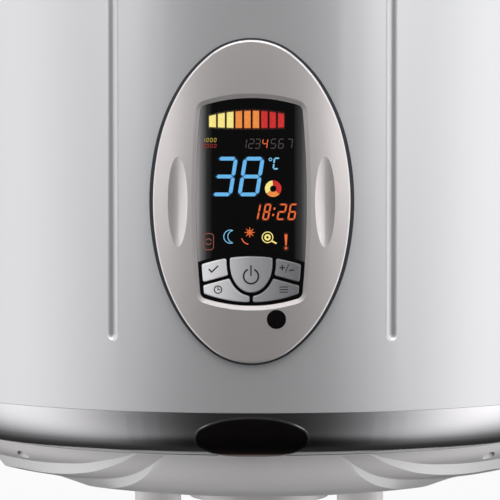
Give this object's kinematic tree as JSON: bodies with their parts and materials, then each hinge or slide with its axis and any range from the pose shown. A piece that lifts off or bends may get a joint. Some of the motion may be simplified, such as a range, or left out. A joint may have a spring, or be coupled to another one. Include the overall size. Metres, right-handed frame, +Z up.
{
  "type": "storage water heater",
  "caption": "Wall-hung vertical cylindrical electric storage water heater with oval control panel, stepped bottom cap and bottom pipe connections",
  "frame": {"origin": "on the wall plane, midway between the two slots of the upper wall bracket", "axes": "+Z up along the tank, +Y into the wall, -Y the front with the control panel, +X to the right seen from the front"},
  "size_m": [0.4499, 0.4725, 0.8571],
  "materials": {
    "casing_paint": "smooth silver-grey baked enamel, satin",
    "ring_silver": "satin silver paint, a little glossier than the casing",
    "cap_plastic": "silver-grey moulded plastic, satin",
    "bezel_champagne": "champagne-silver metallic lacquer on plastic, satin",
    "seal_rubber": "dark grey, matt",
    "window_black": "black, high gloss",
    "key_silver": "silver lacquer, semi-gloss",
    "lens_black": "dark smoked, high gloss",
    "rim_silver": "bright thin rim",
    "collar_plastic": "light grey moulded plastic",
    "service_plastic": "mid grey moulded plastic",
    "zinc_steel": "zinc plated",
    "bracket_steel": "grey powder coat",
    "tank_enamel": "glass-lined steel, primer outside",
    "element_copper": "nickel-plated copper tube",
    "stainless": "brushed",
    "anode_magnesium": "cast, dull",
    "silicone": "red silicone",
    "foam_yellow": "rigid polyurethane foam",
    "board_green": "glass-fibre circuit board",
    "switch_black": "moulded black",
    "housing_black": "moulded black",
    "phenolic": "phenolic moulding",
    "reset_red": "red",
    "brass": "machined",
    "white_plastic": "white moulding"
  },
  "bodies": {
    "heater": {"outer_casing": "casing_paint", "top_trim_ring": "ring_silver", "bottom_trim_ring": "ring_silver", "bottom_cap": "cap_plastic", "top_cap": "cap_plastic", "cover_screws": "zinc_steel", "service_cover": "service_plastic", "base_plate": "zinc_steel", "insulation_foam": "foam_yellow", "tank_shell": "tank_enamel", "tank_top_dome": "tank_enamel", "tank_bottom_dome": "tank_enamel", "tank_flange_neck": "tank_enamel", "flange_gasket": "silicone", "heating_flange": "stainless", "flange_nuts": "zinc_steel", "small_heating_element": "element_copper", "large_heating_element": "element_copper", "anode_rod": "anode_magnesium", "sensor_pocket": "stainless", "temperature_sensor": "brass", "cold_nipple": "stainless", "hot_nipple": "stainless", "cold_diffuser": "white_plastic", "hot_riser_tube": "stainless", "cold_collar": "collar_plastic", "hot_collar": "collar_plastic", "cutout_body": "phenolic", "cutout_bracket": "zinc_steel", "power_board": "board_green", "terminal_block": "white_plastic", "earth_stud": "brass", "cable_gland": "switch_black", "upper_wall_bracket": "bracket_steel", "lower_wall_bracket": "bracket_steel", "bracket_screws": "zinc_steel", "panel_gasket": "seal_rubber", "panel_bezel": "bezel_champagne", "panel_tray": "housing_black", "panel_screws": "zinc_steel", "display_window": "window_black", "key_surround": "window_black", "display_board": "board_green", "display_module": "switch_black", "tact_switches": "switch_black", "receiver_window": "lens_black", "indicator_lens": "lens_black", "indicator_rim": "rim_silver", "indicator_board": "board_green"},
    "power_key": {"power_key": "key_silver", "power_plunger": "white_plastic"},
    "confirm_key": {"confirm_key": "key_silver", "confirm_plunger": "white_plastic"},
    "set_key": {"set_key": "key_silver", "set_plunger": "white_plastic"},
    "mode_key": {"mode_key": "key_silver", "mode_plunger": "white_plastic"},
    "plus_minus_key": {"plus_minus_key": "key_silver", "plus_minus_plunger": "white_plastic"},
    "reset": {"reset_button": "reset_red"}
  },
  "joints": [
    {"name": "power_press", "type": "slide", "parent": "heater", "child": "power_key", "axis": [0, 1, 0], "range_m": [0, 0.0008], "stiffness_N_per_m": 1500, "springref_m": -0.0006},
    {"name": "confirm_press", "type": "slide", "parent": "heater", "child": "confirm_key", "axis": [0, 1, 0], "range_m": [0, 0.0008], "stiffness_N_per_m": 1500, "springref_m": -0.0006},
    {"name": "set_press", "type": "slide", "parent": "heater", "child": "set_key", "axis": [0, 1, 0], "range_m": [0, 0.0008], "stiffness_N_per_m": 1500, "springref_m": -0.0006},
    {"name": "mode_press", "type": "slide", "parent": "heater", "child": "mode_key", "axis": [0, 1, 0], "range_m": [0, 0.0008], "stiffness_N_per_m": 1500, "springref_m": -0.0006},
    {"name": "plus_minus_press", "type": "slide", "parent": "heater", "child": "plus_minus_key", "axis": [0, 1, 0], "range_m": [0, 0.0008], "stiffness_N_per_m": 1500, "springref_m": -0.0006},
    {"name": "reset_press", "type": "slide", "parent": "heater", "child": "reset", "axis": [0, 0, 1], "range_m": [0, 0.0015], "stiffness_N_per_m": 1500, "springref_m": -0.0006}
  ]
}
